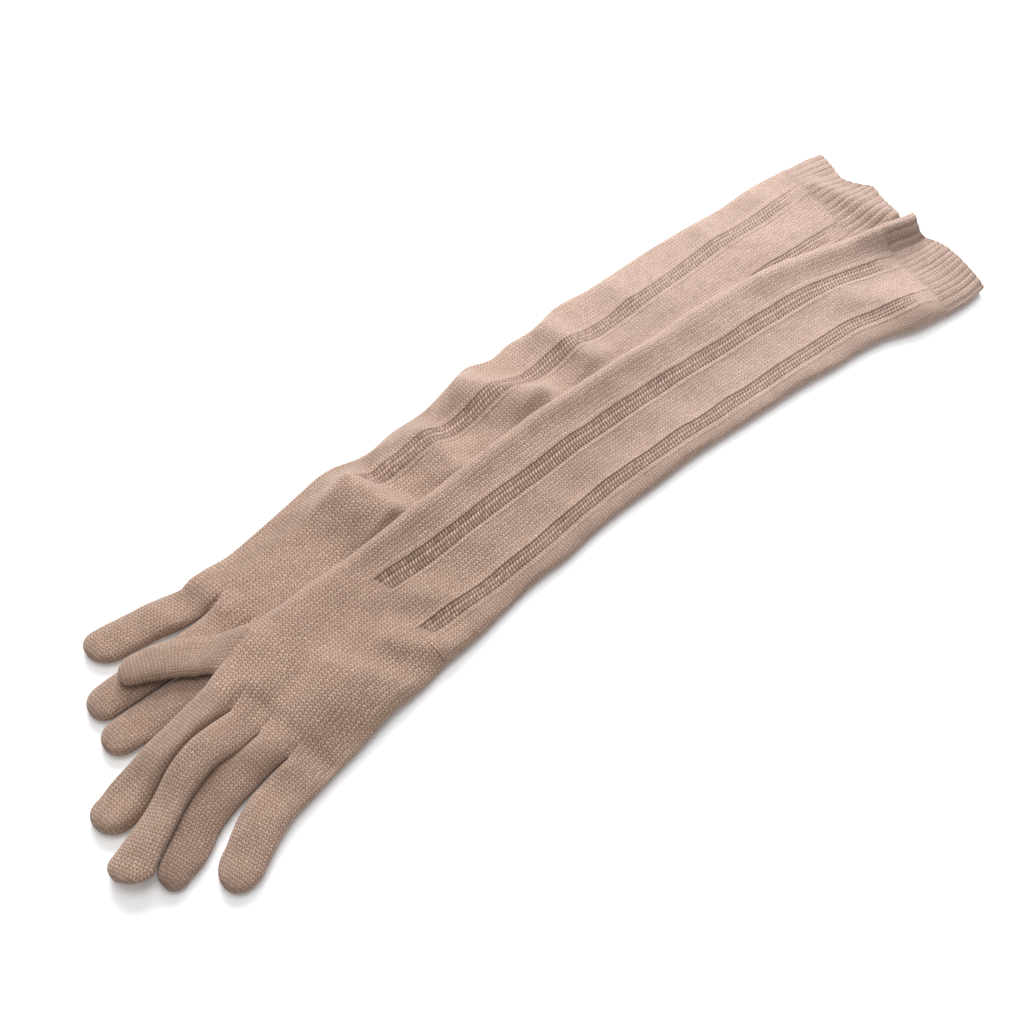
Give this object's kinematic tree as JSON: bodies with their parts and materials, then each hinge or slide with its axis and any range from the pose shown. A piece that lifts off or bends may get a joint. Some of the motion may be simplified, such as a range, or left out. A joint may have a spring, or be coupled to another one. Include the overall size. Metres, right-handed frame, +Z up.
{
  "type": "pair of long knitted gloves",
  "caption": "Pair of elbow-length knitted gloves with ribbed cuffs and openwork stripes along the sleeves, laid flat with one partly over the other.",
  "frame": {"origin": "middle of the bounding box in plan, on the surface that the gloves lie on", "axes": "+X along the gloves from the fingertips to the cuffs, +Y across them towards the glove that lies underneath, +Z up"},
  "size_m": [0.5269, 0.1564, 0.0165],
  "materials": {
    "sleeve_knit": "fine stockinette with openwork stripes",
    "cuff_rib": "fine rib knit",
    "hand_knit": "fine heathered stockinette",
    "finger_knit": "fine heathered stockinette"
  },
  "bodies": {
    "root": {"over_sleeve": "sleeve_knit", "over_cuff": "cuff_rib", "over_hand": "hand_knit", "over_thumb": "finger_knit", "over_index": "finger_knit", "over_middle": "finger_knit", "over_ring": "finger_knit", "over_little": "finger_knit", "under_sleeve": "sleeve_knit", "under_cuff": "cuff_rib", "under_hand": "hand_knit", "under_thumb": "finger_knit", "under_index": "finger_knit", "under_middle": "finger_knit", "under_ring": "finger_knit", "under_little": "finger_knit"}
  },
  "joints": []
}
